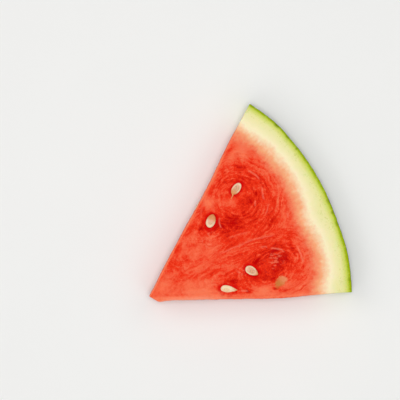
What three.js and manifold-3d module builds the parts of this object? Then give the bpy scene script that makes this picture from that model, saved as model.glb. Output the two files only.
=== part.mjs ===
// A watermelon wedge: a sixth of a round slice, lying on one of its two round cut faces.
// Flesh, pale rind and skin grew as one piece, so they are one solid, "wedge". It is what is left of the
// melon between two level knife cuts and two upright ones that meet near the melon's middle. Each seed is
// a piece of its own, and sits in a pocket of its own shape in a cut face.
//
// Millimetres, +Z up. The wedge's own frame has its origin where the two upright cuts would meet, level
// with the underside, and +X along the middle of the wedge, from the tip towards the rind. The exported
// group moves it so that the origin is under the middle of the wedge, on the surface that it lies on.
import * as THREE from "three";
import { mergeVertices } from "three/addons/utils/BufferGeometryUtils.js";
import Module from "manifold-3d";

// The slice and its two upright cuts.
const SLICE_THICKNESS = 20;
const TIP_ANGLE = THREE.MathUtils.degToRad(60);
const LONG_CUT = 123; // the upright cut on the +Y side, from where the cuts would meet to the skin
const SHORT_CUT = 114; // the same on the -Y side
const TIP_LOSS_LONG = 3.7; // the thin point has broken off, and takes this much of each cut
const TIP_LOSS_SHORT = 7.1;

// The melon's skin.
const RIND_RADIUS = 136; // of the skin's outline, seen from above
const MERIDIAN_RADIUS = 150; // of the skin's curve from the underside to the upper face
const WIDEST_HEIGHT = 14; // where the melon is widest, above the underside
const SKIN_FACETS = 160; // round the whole melon
const SKIN_STEPS = 6; // up the slice
const KNIFE_MARGIN = 5; // how far the melon runs past the level cuts
const KNIFE_REACH = 20; // how far the upright cuts run past the skin

// One seed: a flat drop with a round end and a pointed one.
const SEED_LENGTH = 8.1;
const SEED_WIDTH = 5.2;
const SEED_THICKNESS = 2.4;
const SEED_ROUND_END = 0.5; // powers of the outline at its two ends
const SEED_POINTED_END = 0.85;
const SEED_SIDES = 12;
const SEED_STEPS = 8;
const POCKET_GAP = 0.3;
const POCKET_MOUTH = 4; // the outer half of a pocket is this much taller, so that the whole seed shows

// Where the seeds lie. along and across are in the face's own axes, and turn is the angle of the seed's
// pointed end from the face's first axis, anticlockwise as seen from outside. sunk is how deep the seed's
// middle is under the face, point is how sharp the pointed end is, pitch tips that end out of the face, and
// roll turns the seed round its length. A held seed's pocket fits it, and flesh still covers its lower edge.
const SEEDS = {
  upper: [
    { along: 75.7, across: 26.2, turn: -160, sunk: 0.3, size: 0.84, stretch: 1.1, point: 0.48 },
    { along: 54.5, across: 18.7, turn: 38, sunk: 0.3, size: 0.98, stretch: 0.98, point: 0.6, pitch: -9 },
    { along: 58.8, across: -16.7, turn: -62, sunk: 0.3, size: 0.9, stretch: 1.08, point: 0.75 },
    {
      along: 42.75, across: -18.65, turn: -35, sunk: 0.45, size: 1.0, stretch: 1.18, point: 1.15, pitch: 2,
      roll: 20, held: true,
    },
    { along: 69.0, across: -30.1, turn: -167, sunk: 1.3, size: 1.0, held: true },
  ],
  under: [
    { along: 51, across: 9, turn: 160, sunk: 1.2, size: 0.95 },
    { along: 67, across: -19, turn: -120, sunk: 1.3, size: 1.0 },
    { along: 72, across: 24, turn: 30, sunk: 1.3, size: 1.03 },
    { along: 83, across: 1, turn: 75, sunk: 1.3, size: 0.97 },
  ],
  long_side: [
    { along: 61, across: 8, turn: 15, sunk: 1.1, size: 0.96 },
    { along: 83, across: 12.5, turn: -160, sunk: 1.2, size: 1.0 },
  ],
  short_side: [
    { along: 56, across: 11, turn: 170, sunk: 0.8, size: 1.0 },
    { along: 79, across: 7, turn: -25, sunk: 0.6, size: 0.94 },
  ],
};

const FLESH_COLOUR = 0xdc2f1c;
const SEED_COLOUR = 0xe8d6a8;

const wasm = await Module();
wasm.setup();

// A closed geometry as a manifold-3d solid.
function solidOf(geometry) {
  const bare = geometry.clone();
  bare.deleteAttribute("normal");
  bare.deleteAttribute("uv");
  const merged = mergeVertices(bare, 1e-4);
  return new wasm.Manifold(
    new wasm.Mesh({
      numProp: 3,
      vertProperties: merged.attributes.position.array,
      triVerts: new Uint32Array(merged.index.array),
    }),
  );
}

function geometryOf(solid) {
  const mesh = solid.getMesh();
  const geometry = new THREE.BufferGeometry();
  geometry.setAttribute("position", new THREE.BufferAttribute(mesh.vertProperties, 3));
  geometry.setIndex(new THREE.BufferAttribute(mesh.triVerts, 1));
  geometry.computeVertexNormals();
  return geometry;
}

// A point at that distance from the tip, in the direction of that angle from +X.
function polar(distance, angle) {
  return new THREE.Vector2(distance * Math.cos(angle), distance * Math.sin(angle));
}

// The middle of the circle of RIND_RADIUS through the skin's two corners.
function rindCentre() {
  const longCorner = polar(LONG_CUT, TIP_ANGLE / 2);
  const shortCorner = polar(SHORT_CUT, -TIP_ANGLE / 2);
  const chord = longCorner.clone().sub(shortCorner);
  const inward = new THREE.Vector2(-chord.y, chord.x).normalize();
  const reach = Math.sqrt(RIND_RADIUS ** 2 - chord.lengthSq() / 4);
  return longCorner.add(shortCorner).multiplyScalar(0.5).addScaledVector(inward, reach);
}

// How far the skin is from the melon's axis at that height.
function skinRadius(height) {
  const fromWidest = height - WIDEST_HEIGHT;
  return RIND_RADIUS - MERIDIAN_RADIUS + Math.sqrt(MERIDIAN_RADIUS ** 2 - fromWidest ** 2);
}

// The part of the melon round the slice, as a barrel on its own axis.
function melonBarrel() {
  const low = -KNIFE_MARGIN;
  const high = SLICE_THICKNESS + KNIFE_MARGIN;
  const profile = [new THREE.Vector2(0, low)];
  for (let i = 0; i <= SKIN_STEPS; i++) {
    const height = low + ((high - low) * i) / SKIN_STEPS;
    profile.push(new THREE.Vector2(skinRadius(height), height));
  }
  profile.push(new THREE.Vector2(0, high));
  const centre = rindCentre();
  return new THREE.LatheGeometry(profile, SKIN_FACETS)
    .rotateX(Math.PI / 2)
    .translate(centre.x, centre.y, 0);
}

// What the four knife cuts and the broken tip leave, running out past the skin.
function knifeCuts() {
  const outline = new THREE.Shape([
    polar(TIP_LOSS_SHORT, -TIP_ANGLE / 2),
    polar(SHORT_CUT + KNIFE_REACH, -TIP_ANGLE / 2),
    polar(LONG_CUT + KNIFE_REACH, 0),
    polar(LONG_CUT + KNIFE_REACH, TIP_ANGLE / 2),
    polar(TIP_LOSS_LONG, TIP_ANGLE / 2),
  ]);
  return new THREE.ExtrudeGeometry(outline, { depth: SLICE_THICKNESS, bevelEnabled: false });
}

// A seed lying in the XY plane with its pointed end towards +X, made larger all round by grow.
function seedGeometry({ size, stretch = 1, point = SEED_POINTED_END }, grow = 0) {
  const length = SEED_LENGTH * size * stretch + 2 * grow;
  const width = SEED_WIDTH * size + 2 * grow;
  const thickness = SEED_THICKNESS * size + 2 * grow;
  const widest = SEED_ROUND_END / (SEED_ROUND_END + point);
  const profile = [];
  for (let i = 0; i <= SEED_STEPS; i++) {
    const share = (1 - Math.cos((Math.PI * i) / SEED_STEPS)) / 2;
    const round = (share / widest) ** SEED_ROUND_END;
    const pointed = ((1 - share) / (1 - widest)) ** point;
    profile.push(new THREE.Vector2((round * pointed * width) / 2, (share - 0.5) * length));
  }
  return new THREE.LatheGeometry(profile, SEED_SIDES)
    .rotateZ(-Math.PI / 2)
    .scale(1, 1, thickness / width);
}

// A cut face's own axes: along it from the tip, across it, and out of it. On the upright faces across
// is the height above the underside.
function faceAxes(face) {
  const up = new THREE.Vector3(0, 0, 1);
  const down = new THREE.Vector3(0, 0, -1);
  const forward = new THREE.Vector3(1, 0, 0);
  const left = new THREE.Vector3(0, 1, 0);
  const longWay = forward.clone().applyAxisAngle(up, TIP_ANGLE / 2);
  const shortWay = forward.clone().applyAxisAngle(up, -TIP_ANGLE / 2);
  return {
    upper: { along: forward, across: left, out: up, height: SLICE_THICKNESS },
    under: { along: forward, across: left, out: down, height: 0 },
    long_side: { along: longWay, across: up, out: up.clone().cross(longWay), height: 0 },
    short_side: { along: shortWay, across: up, out: shortWay.clone().cross(up), height: 0 },
  }[face];
}

// The place of a seed in a face, in the wedge's own frame.
function seedPlace(face, { along, across, turn, sunk, pitch = 0, roll = 0 }) {
  const axes = faceAxes(face);
  const middle = new THREE.Vector3(0, 0, axes.height)
    .addScaledVector(axes.along, along)
    .addScaledVector(axes.across, across)
    .addScaledVector(axes.out, -sunk);
  const angles = [roll, -pitch, turn].map(THREE.MathUtils.degToRad);
  return new THREE.Matrix4()
    .makeBasis(axes.along, axes.out.clone().cross(axes.along), axes.out)
    .multiply(new THREE.Matrix4().makeRotationFromEuler(new THREE.Euler(...angles, "ZYX")))
    .setPosition(middle);
}

// What is cut out of the wedge for a seed: a bed that fits it, and a mouth that shows the whole seed.
function pocketGeometry(face, seed) {
  const pocket = seedGeometry(seed, POCKET_GAP);
  const places = pocket.getAttribute("position");
  for (let i = 0; i < places.count; i++) {
    if (places.getZ(i) > 0 && !seed.held) places.setZ(i, places.getZ(i) * POCKET_MOUTH);
  }
  return pocket.applyMatrix4(seedPlace(face, seed));
}

function makeSeeds() {
  const material = new THREE.MeshStandardMaterial({
    color: SEED_COLOUR,
    roughness: 0.35,
    metalness: 0,
  });
  const seeds = [];
  for (const [face, row] of Object.entries(SEEDS)) {
    row.forEach((seed, i) => {
      const mesh = new THREE.Mesh(seedGeometry(seed), material);
      mesh.name = `seed_${face}_${i + 1}`;
      mesh.applyMatrix4(seedPlace(face, seed));
      seeds.push(mesh);
    });
  }
  return seeds;
}

function makeWedge() {
  let solid = solidOf(melonBarrel()).intersect(solidOf(knifeCuts()));
  for (const [face, row] of Object.entries(SEEDS)) {
    for (const seed of row) {
      solid = solid.subtract(solidOf(pocketGeometry(face, seed)));
    }
  }
  const material = new THREE.MeshStandardMaterial({
    color: FLESH_COLOUR,
    roughness: 0.4,
    metalness: 0,
    flatShading: true,
  });
  const wedge = new THREE.Mesh(geometryOf(solid), material);
  wedge.name = "wedge";
  return wedge;
}

const part = new THREE.Group();
part.add(makeWedge(), ...makeSeeds());
const middle = new THREE.Box3().setFromObject(part).getCenter(new THREE.Vector3());
part.position.set(-middle.x, -middle.y, 0);

export default part;
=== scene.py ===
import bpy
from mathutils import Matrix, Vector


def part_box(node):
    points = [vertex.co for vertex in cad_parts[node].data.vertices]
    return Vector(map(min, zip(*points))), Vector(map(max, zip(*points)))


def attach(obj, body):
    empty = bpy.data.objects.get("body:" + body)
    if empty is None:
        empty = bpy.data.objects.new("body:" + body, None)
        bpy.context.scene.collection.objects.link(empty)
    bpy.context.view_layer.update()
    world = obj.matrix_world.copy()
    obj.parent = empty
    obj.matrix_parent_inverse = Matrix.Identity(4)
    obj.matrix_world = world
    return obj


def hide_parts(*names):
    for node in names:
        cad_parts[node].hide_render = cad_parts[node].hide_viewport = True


bl_info = {
    "name": "Watermelon Wedge",
    "version": (1, 0, 0),
    "blender": (4, 5, 0),
    "location": "View3D > Sidebar > Melon",
    "description": "Makes a cut wedge of watermelon with its seeds, and a pale stage for it",
    "category": "Add Mesh",
}

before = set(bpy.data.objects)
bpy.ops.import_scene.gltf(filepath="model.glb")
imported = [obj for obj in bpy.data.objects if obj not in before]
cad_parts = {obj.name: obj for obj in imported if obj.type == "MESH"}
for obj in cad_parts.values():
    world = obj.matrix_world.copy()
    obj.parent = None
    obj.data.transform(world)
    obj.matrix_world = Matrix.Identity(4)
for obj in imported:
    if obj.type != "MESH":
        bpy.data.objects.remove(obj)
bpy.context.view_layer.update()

from collections import namedtuple
from math import atan2, copysign, cos, degrees, exp, hypot, pi, radians, sin, sqrt

import bmesh
import bpy
from mathutils import Color, Euler, Matrix, Vector
from mathutils.noise import noise

# Lengths are in millimetres, in the frame of the CAD model, until a mesh is written in metres.
MM = 0.001
WEDGE_LOW, WEDGE_HIGH = (Vector(corner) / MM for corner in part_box("wedge"))
TOP = WEDGE_HIGH.z  # the upper face

# The upright cuts, the angle of each from the wedge's middle line, and where they would meet.
HALF_ANGLE = radians(30)
LONG_CUT = 123.0
SHORT_CUT = 114.0
TIP_LOSS_LONG = 3.7
TIP_LOSS_SHORT = 7.1
TIP = Vector((
    WEDGE_LOW.x - TIP_LOSS_LONG * cos(HALF_ANGLE),
    WEDGE_HIGH.y - LONG_CUT * sin(HALF_ANGLE),
))

# How far each upright cut bows out of its straight line: (share of the way to the skin, distance).
LONG_CUT_BOW = ((0.0, 0.0), (0.3, 0.1), (0.55, -0.45), (0.81, 0.45), (1.0, 0.0))
SHORT_CUT_BOW = ((0.0, 0.0), (0.09, -0.45), (0.6, 0.7), (1.0, -1.0))
BOW_REACH = 0.25  # share of the wedge's width that a bow moves

# The melon's skin.
RIND_RADIUS = 136.0
MERIDIAN_RADIUS = 150.0
WIDEST_HEIGHT = 14.0
SKIN_WAVES = ((0.2, 0.06), (0.14, 0.3))  # (height, waves in a millimetre)

# How far the skin swells past its circle, and how much thicker the rind is: (bearing in degrees, distance).
SKIN_SWELLS = (
    (-28, 0.1), (-19, 0.35), (-13, -0.05), (-8, 0.1), (-3, 0.55), (3, 0.8), (8, 1.2), (14, 1.6),
    (18, 1.1), (22, 0.8),
)
RIND_SWELLS = (
    (-28, 2.7), (-24, 0.5), (-19, 0.6), (-14, 0.8), (-9, 2.6), (-4, 0.5), (0, -0.3), (5, -1.2),
    (10, -0.6), (20, 0.6),
)

# How much thinner the green line is in places: (bearing in degrees, distance).
LINE_LOSSES = (
    (-22, 0), (-18, 0.1), (-13, 0.4), (-6, 0.3), (0, 0.2), (4, 0.25), (9, 0.5), (13, 0.7), (18, 0.5),
)
LINE_DEPTH = (0.5, 1.6, 4, 9)  # how far under the skin the loss starts, is full and ends
RIND_SWELLS_FROM = (3, 10)  # depths under the skin between which the thicker rind sets in

# Painted light: how much less red the flesh is painted along the short cut's upper edge, as if the edge
# caught
# the light: (distance from the tip, drop). Below it, where that starts, is full and ends inwards from the
# cut, and where it ends and is full down from the edge.
PAINTED_EDGE_LIGHT = ((6, 0.3), (17, 0.6), (28, 0.5), (40, 0.45), (52, 0.2), (65, 0.24), (78, 0.33), (92, 0.2))
EDGE_LIGHT_PLACE = (-0.5, 1.0, 1.6, 3.6)
EDGE_LIGHT_DOWN = (3.0, 0.8)

# Small nicks in the skin's upper edge: bearing in degrees, half width in degrees, and depth.
SKIN_NICKS = (
    (14.1, 1, 0.2), (10.5, 0.8, 0.12), (7.1, 0.3, 0.2), (-7.2, 0.8, 0.12), (-10, 0.5, 0.18),
    (-12.8, 1.1, 0.12), (-26.2, 0.6, 0.15),
)
NICK_HEIGHT = 3.0
NICK_FLOOR = 0.25  # share of a nick's half width that is full deep
BRUISE_SHADE = 4  # how dark the green line is behind a nick a millimetre deep
BRUISE_DEPTH = (2.2, 0.4)  # where the dark ends, and where it is full

# The block that is bent into the wedge, and how many cuts it gets along, across and up. The squares of the
# upper face are cut once more, and so are those round the seeds until their sides are that fine.
BLOCK_CUTS = (122, 108, 22)
BLOCK_LENGTH = 115.0
BLOCK_WIDTH = 118.0
ROUNDING_STEPS = 2
SEED_SQUARES = 0.3

# The two chambers of the melon that the wedge runs through: middle and half lengths. Further out, the flesh
# runs round a chamber in a drop whose tail points along turn, to the wedge's tip, and is that long.
Chamber = namedtuple("Chamber", "middle reach turn tail")
CHAMBERS = (
    Chamber((14.0, 19.5), (19.0, 17.5), turn=16.0, tail=58.0),
    Chamber((8.0, -23.0), (19.5, 13.0), turn=-19.0, tail=56.0),
)
CHAMBER_DRIFT = Vector((0.22, -0.12))  # how far they lean for each millimetre of depth

# How fast the streaks of the flesh change: round a chamber, out of it, and downwards.
STREAKS_ROUND = 2.0
STREAKS_OUT = 13.0
STREAKS_DOWN = 0.15

# Patches of deeper or paler flesh: middle, half length, half width, turn in degrees, and how much deeper.
# Those at (-2.6, 14.2) and (5, -34.2) are painted shadow beside seed 2 and the veiled seed, the one at (-13,
# -19) is partly painted shade beside seed 4, and the pale one at (-30.5, -14.4) is painted light along the
# short cut's edge.
FLESH_PATCHES = (
    (5, 9.5, 14, 5.5, -8, 0.28), (18, 14, 7, 6, 0, 0.22), (19.5, 27, 10, 5, -20, 0.17),
    (23.5, 33, 5, 2, -32, 0.2), (30, 16, 10, 2.4, 85, 0.16), (22, -1.5, 4.5, 1.8, 25, 0.22),
    (8, -25, 12, 4.5, -8, 0.3), (4, -17, 4, 3, -30, 0.3), (17, -21.5, 4.5, 4, 40, 0.25),
    (24.8, -20, 7.5, 1.9, 84, 0.25), (7, -12.2, 4.5, 2, -10, 0.25), (7.2, -29, 2.6, 1.2, -10, 0.25),
    (19.5, -23, 2.2, 3.4, 10, 0.25), (-13, -19, 4, 2.5, -45, 0.4), (-8, -27.5, 2.4, 1.7, -30, 0.25),
    (-4, 13.5, 3, 1.6, 50, 0.35), (19, 13.8, 3, 1.2, 60, 0.25), (15.5, 11.2, 2.2, 1, 50, 0.2),
    (23.8, 16, 1.9, 0.7, 55, 0.3), (5.5, 5.2, 2.2, 1, -20, 0.12), (3.5, 24, 6, 6, 0, -0.14),
    (-22, -2, 22, 4.5, -5, -0.22), (-45.5, -0.5, 13, 8, 0, -0.34), (-30, -9, 16, 4, -30, -0.3),
    (-1, -31.3, 9, 3.3, -28, -0.47), (-22, 14, 12, 3, 26, -0.22), (9, 36, 14, 2.6, 29, -0.18),
    (-11, 9, 5, 2, -30, -0.12), (-1.5, 25.5, 4, 5.5, 0, -0.34), (9.5, 19, 4.5, 3, -15, -0.24),
    (31, 41, 4, 8.5, -30, -0.42), (-14, 7, 8, 5, -20, -0.12), (-22.5, 7.5, 5.5, 4, 0, -0.26),
    (17, -9, 6, 2.2, -10, 0.14), (12.5, -36.5, 7, 3.8, -27, -0.28), (-10.5, -11, 10.5, 3, -8, -0.18),
    (-2.5, 9, 2.6, 7.5, 15, 0.16), (3, -16, 4, 2.6, 0, 0.18), (14.5, -19.5, 7, 6, 0, 0.24),
    (-37.5, -2, 9, 4, -5, 0.25), (-30.5, -14.4, 15, 3, -31, -0.46), (30.5, -2, 3.5, 4.5, 0, -0.12),
    (5, -34.2, 2.6, 1.2, -40, 0.5), (-1, 2.5, 4, 3, 0, 0.12), (15, -15.5, 8, 3.2, 0, 0.3),
    (23.5, 40.5, 6, 3, 30, -0.32), (34, 33, 3, 5, 0, -0.15), (-8, 14, 3, 4, 20, 0.1),
    (-12.5, 15.5, 3.2, 2, -35, 0.22), (-2.6, 14.2, 1.8, 1.4, 0, 0.5), (-14.5, 3, 8, 3.5, -5, -0.24),
    (-29, 9, 5, 2, 25, -0.14), (14, 2, 12, 3.2, -5, 0.14), (26, -6.5, 4, 3, 0, -0.15),
    (17, -32.5, 4, 2, -20, -0.15),
)
PATCH_REACH = 1.35  # how far a patch fades out, in its half lengths

# Fine pale veins in the upper face: start, end, how far the middle bulges to the left, and how pale it is.
VEINS = (
    ((26.3, 29), (29.5, 21), 0.7, 1), ((28.6, 17.5), (25.6, 10), -0.5, 0.8),
    ((-0.4, 15.8), (-2.6, 10), -0.5, 1.1), ((13.8, -13.6), (19.6, -19.2), 0.6, 1.1),
    ((27, -20.5), (25, -30.5), 0.7, 0.9), ((9.5, -10.3), (13.2, -12.6), 0.3, 0.8),
    ((21.5, 3), (26.5, 8), -0.4, 0.6), ((19.4, 10), (21.2, 12.8), 0, 0.8),
    ((-12, -1.5), (5, -4.4), 0.4, 0.7), ((2, -3.2), (21, -9.4), 0.6, 0.7),
    ((-3, 3.2), (9, 0.4), 0.3, 0.4), ((-9.5, 20.5), (0, 29.5), 0.8, 0.4),
    ((32.8, -2.2), (31.2, -5.2), 0, 0.8), ((-12.4, -24.6), (-8.6, -27.2), 0.1, 1),
)
VEIN_WIDTH = (0.8, 0.1)  # from the middle of a vein to where it ends, and to where it is palest
STRAIGHT_BULGE = 0.01  # a straighter vein is bent this much

# Where the cut has torn the flesh: middle, reach and height.
TORN_PLACES = (
    (15, -20.5, 7, 0.4), (9.5, -21, 6, 0.3), (-7.5, -14.5, 6, 0.4), (-17, -11.5, 4.5, 0.15),
    (-11.5, 8, 6.5, 0.6), (-17, 14, 4, 0.2), (33, -3, 4, 0.15), (3, 8, 6, 0.12), (20, 11, 4, 0.12),
)
SHRED_LENGTH = 2.1
SHRED_WIDTH = 0.75
SHRED_TURN = 32.0  # degrees clockwise that they lie from the wedge's middle line
PALE_SHRED = 0.2  # height of a shred that is as pale as any
SHRED_FUZZ = (0.35, 0.5)  # how strong the finer noise on them is, and its size
SHRED_DOWN = (4, 1)  # how far down the cuts they go: where they end, and where they are full

# The relief of the cuts.
FLESH_FROM = (9, 20)  # depths under the skin between which the flesh's relief takes over from the rind's
BROAD_WAVE = (0.16, 14)  # height and size
FINE_WAVES = ((0.04, 0.12, 2.6), (0.02, 0.08, 1.2))  # height, how much more in the flesh, and size
FLESH_SHRINK = 0.14  # how far the flesh lies below the rind
RIDGE_HEIGHT = 0.22
RIDGE_WAVES = (1.6, 9, 9)  # how fast they change round a chamber and out of it, and their size downwards
RED_SINKS = (0.35, 0.5)  # the redness from which the flesh has sunk, and how fast it does
LEVEL_FACE = 0.5  # least rise or fall of the normal on the level cuts
SKIN_WAVE = (0.05, 5)  # height and size
SKIN_DEPTH = 0.05  # what is nearer than this to the skin's surface is skin
SKIN_TILT = 0.7  # most rise or fall of the skin's normal
# Painted light: the flesh is painted paler along the cuts' long edges.
BRINK_LIGHT_WIDTH = (2.4, 0.3)  # how far from a cut's long edge its paleness ends, and where it is full

# A seed, and where each one lies, as in the CAD model. along and across are in the face's own axes, turn is
# the angle of the pointed end from the first of them, anticlockwise as seen from outside, sunk is how deep
# the middle is, point is how sharp the pointed end is, pitch tips that end out, and roll turns the seed round
# its length. tan says how brown its middle is, and tip how far the colour of the point runs up it.
SEED_LENGTH = 8.1
SEED_WIDTH = 5.2
SEED_THICKNESS = 2.4
SEED_ROUND_END = 0.5
SEED_POINTED_END = 0.85
Seed = namedtuple(
    "Seed", "along across turn sunk size stretch point pitch roll held tan tip",
    defaults=(1, SEED_POINTED_END, 0, 0, False, 0.4, 0),
)
SEEDS = {
    "upper": (
        Seed(75.7, 26.2, -160, 0.3, 0.84, stretch=1.1, point=0.48, tan=0.5, tip=0.1),
        Seed(54.5, 18.7, 38, 0.3, 0.98, stretch=0.98, point=0.6, pitch=-9, tan=0.1, tip=0.24),
        Seed(58.8, -16.7, -62, 0.3, 0.9, stretch=1.08, point=0.75, tan=0.5),
        Seed(42.75, -18.65, -35, 0.45, 1.0, stretch=1.18, point=1.15, pitch=2, roll=20, held=True, tan=-0.9),
        Seed(69.0, -30.1, -167, 1.3, 1.0, held=True),
    ),
    "under": (
        Seed(51, 9, 160, 1.2, 0.95),
        Seed(67, -19, -120, 1.3, 1.0, tan=0.8),
        Seed(72, 24, 30, 1.3, 1.03, tan=0.1),
        Seed(83, 1, 75, 1.3, 0.97, tan=0.5),
    ),
    "long_side": (
        Seed(61, 8, 15, 1.1, 0.96, tan=0.2),
        Seed(83, 12.5, -160, 1.2, 1.0, tan=0.6),
    ),
    "short_side": (
        Seed(56, 11, 170, 0.8, 1.0, tan=0.0),
        Seed(79, 7, -25, 0.6, 0.94, tan=0.5),
    ),
}
VEILED_SEED = "seed_upper_5"
# The thread at the pointed end of a seed: its length, and how many degrees it turns off the seed's own way.
THREADS = {"seed_upper_1": (3.2, 27)}
THREAD_RADII = (0.52, 0.15)
THREAD_ROOT = 0.5  # how far inside the seed's point it starts
THREAD_WAVE = (0.25, 4.5)  # how far it snakes, and through what angle
THREAD_ENDS = (0.05, 0.4)  # how far over the flesh it runs, and how far into it its end goes

# The swell of a seed's faces, its lumps, and its grooves. One groove runs inside its edge and one crosses its
# pointed end. A groove is where it is, how wide and how deep.
SEED_CROWN = 2.5  # a larger power makes the faces flatter
SEED_TAPER = 0.85  # power of the outline that the thickness follows
SEED_LUMPS = (0.05, 1.5)  # height, as a share, and how many there are
EDGE_GROOVE = (0.78, 0.08, 0.1)
POINT_GROOVE = (0.86, 0.04, 0.12)
POINT_GROOVE_SIDE = (0.5, 0.2)  # where it lies across the seed, and how wide
SEED_MESH = {"u_segments": 36, "v_segments": 26}

# The camera looks straight down at the upper face, from far off.
CAMERA_OVER = Vector((-4.3, 29.35))
CAMERA_TURN = radians(-32.35)
CAMERA_HEIGHT = 1200.0
VIEW_WIDTH = 220.0
SENSOR_WIDTH = 36.0


def paint(red, green, blue):
    """A screen colour, 0 to 255, as the linear colour that a shader takes."""
    return Color((red / 255, green / 255, blue / 255)).from_srgb_to_scene_linear()[:]


def tint(description, *colour):
    """A setting for a colour, whose default is a screen colour."""
    return bpy.props.FloatVectorProperty(
        description=description, subtype="COLOR", size=3, min=0, max=1, default=paint(*colour),
    )


def amount(description, default, **options):
    """A setting for a number, or for a length in metres."""
    return bpy.props.FloatProperty(description=description, default=default, **options)


class MelonWedgeProperties(bpy.types.PropertyGroup):
    """The sizes and colours of the wedge."""

    thickness: amount("Height of the wedge", (TOP - WEDGE_LOW.z) * MM, unit="LENGTH")
    rounding: amount("How much the knife's edges have softened", 0.5 * MM, unit="LENGTH")
    relief: amount("How strongly the flesh's grain stands out", 1, subtype="FACTOR", min=0, max=2)
    rind_depth: amount("How deep the pale rind goes", 15.5 * MM, unit="LENGTH")
    deep: tint("The darkest red, round the seeds", 196, 0, 0)
    # Darker red round each seed: partly its real glassy gel, partly painted shade in the seed's pocket.
    halo: tint("Glassy flesh against a seed", 218, 6, 2)
    red: tint("The middle of the flesh", 241, 52, 20)
    pale: tint("The lighter flesh, as at the tip", 252, 120, 82)
    vein: tint("The fine pale veins and torn flecks", 255, 150, 120)
    salmon: tint("The palest flesh, beside the cuts", 252, 152, 120)
    # Beside the cuts this palest flesh is painted light.
    frost: tint("Where the cut has torn the flesh", 255, 144, 108)
    blush: tint("Where the flesh runs into the rind", 247, 170, 124)
    cream: tint("The inner rind", 252, 238, 198)
    straw: tint("Between the cream and the lime", 234, 230, 162)
    lime: tint("The outer rind", 207, 215, 92)
    rim: tint("The rind just under the skin", 154, 176, 0)
    scratch: tint("Fine marks in the outer rind", 188, 200, 72)
    nick: tint("Bruised spots in the green line", 104, 128, 0)
    veiled: tint("A seed that shows through its film", 240, 150, 104)
    veiled_point: tint("The pointed end of that seed", 202, 126, 60)
    skin: tint("The dark skin between its stripes", 42, 62, 12)
    stripe: tint("The mottled stripes of the skin", 112, 126, 30)
    freckle: tint("The pale freckles of the skin", 150, 160, 70)


class MelonSeedProperties(bpy.types.PropertyGroup):
    """The colours of the seeds."""

    coat: tint("The middle of a seed", 240, 190, 156)
    edge: tint("The paler edge of a seed", 252, 222, 180)
    point: tint("The tan pointed end", 228, 142, 74)
    tan: tint("The middle of a riper seed", 208, 150, 98)
    ivory: tint("The middle of a pale seed", 252, 208, 158)
    olive: tint("Faint spots in the middle of a seed", 190, 152, 92)
    rosy: tint("Other faint spots in it", 252, 170, 150)
    fleck: tint("The fine dark flecks of a seed", 190, 120, 84)
    thread: tint("The fibre that a seed hangs on", 250, 170, 112)


class MelonStageProperties(bpy.types.PropertyGroup):
    """The floor and the light."""

    floor: tint("The plain floor", 243, 243, 241)
    cloud: tint("The faint mottling of the floor", 210, 210, 210)
    light: amount("Strength of the lamps", 1, subtype="FACTOR", min=0, max=5)


def smooth(low, high, value):
    """0 at low, 1 at high, and an even slope between."""
    share = min(max((value - low) / (high - low), 0.0), 1.0)
    return share * share * (3 - 2 * share)


def hump(value, start, full, ending, end):
    """1 from full to ending, 0 before start and past end, and even slopes between."""
    return smooth(start, full, value) * smooth(end, ending, value)


def read_off(stops, place):
    """The value at a place, from (place, value) stops with smooth ways between them."""
    for (near, low), (far, high) in zip(stops, stops[1:]):
        if place <= far:
            return low + (high - low) * smooth(near, far, place)
    return stops[-1][1]


def heading(angle):
    """The level direction at that angle."""
    return Vector((cos(angle), sin(angle)))


def turned(offset, angle):
    """A level offset turned anticlockwise by an angle in degrees."""
    return Matrix.Rotation(radians(angle), 2) @ offset


def from_tip(distance, angle):
    return TIP + distance * heading(angle)


def melon_axis():
    """The middle of the skin's circle, through the wedge's two outer corners."""
    long_corner = from_tip(LONG_CUT, HALF_ANGLE)
    short_corner = from_tip(SHORT_CUT, -HALF_ANGLE)
    chord = long_corner - short_corner
    inward = Vector((-chord.y, chord.x)).normalized()
    reach = sqrt(RIND_RADIUS**2 - chord.length_squared / 4)
    return (long_corner + short_corner) / 2 + reach * inward


AXIS = melon_axis()


def bearing(point):
    """The angle of a point round the melon's axis."""
    return atan2(point.y - AXIS.y, point.x - AXIS.x)


# Out of each upright cut, and the bearings of the outer corners.
LONG_OUT = Vector((-sin(HALF_ANGLE), cos(HALF_ANGLE)))
SHORT_OUT = Vector((-sin(HALF_ANGLE), -cos(HALF_ANGLE)))
LONG_BEARING = bearing(from_tip(LONG_CUT, HALF_ANGLE))
SHORT_BEARING = bearing(from_tip(SHORT_CUT, -HALF_ANGLE))


def nick(angle, height):
    """How deep the skin is nicked there."""
    depths = (
        deep * smooth(wide, wide * NICK_FLOOR, abs(degrees(angle) - middle))
        for middle, wide, deep in SKIN_NICKS
    )
    return max(depths) * smooth(TOP - NICK_HEIGHT, TOP, height)


def skin_radius(angle, height):
    """How far the skin is from the melon's axis."""
    from_widest = height - WIDEST_HEIGHT
    radius = RIND_RADIUS - MERIDIAN_RADIUS + sqrt(MERIDIAN_RADIUS**2 - from_widest**2)
    radius += read_off(SKIN_SWELLS, degrees(angle))
    radius -= nick(angle, height)
    for tall, fine in SKIN_WAVES:
        radius += tall * noise(Vector((angle * RIND_RADIUS * fine, height * fine / 2, tall)))
    return radius


def squeezed(place, half_block, half_wedge, kept):
    """Takes a place across the block to its place across the wedge, and keeps the edge's width."""
    from_edge = half_block - abs(place)
    if from_edge < kept:
        return copysign(half_wedge - from_edge, place)
    return place * (half_wedge - kept) / (half_block - kept)


def line_through(share, height):
    """The ends, at the broken tip and at the skin, of the line that far across the wedge."""
    near = from_tip(TIP_LOSS_SHORT, -HALF_ANGLE).lerp(from_tip(TIP_LOSS_LONG, HALF_ANGLE), share)
    angle = SHORT_BEARING + share * (LONG_BEARING - SHORT_BEARING)
    far = AXIS + skin_radius(angle, height) * heading(angle)
    return near, far


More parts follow.
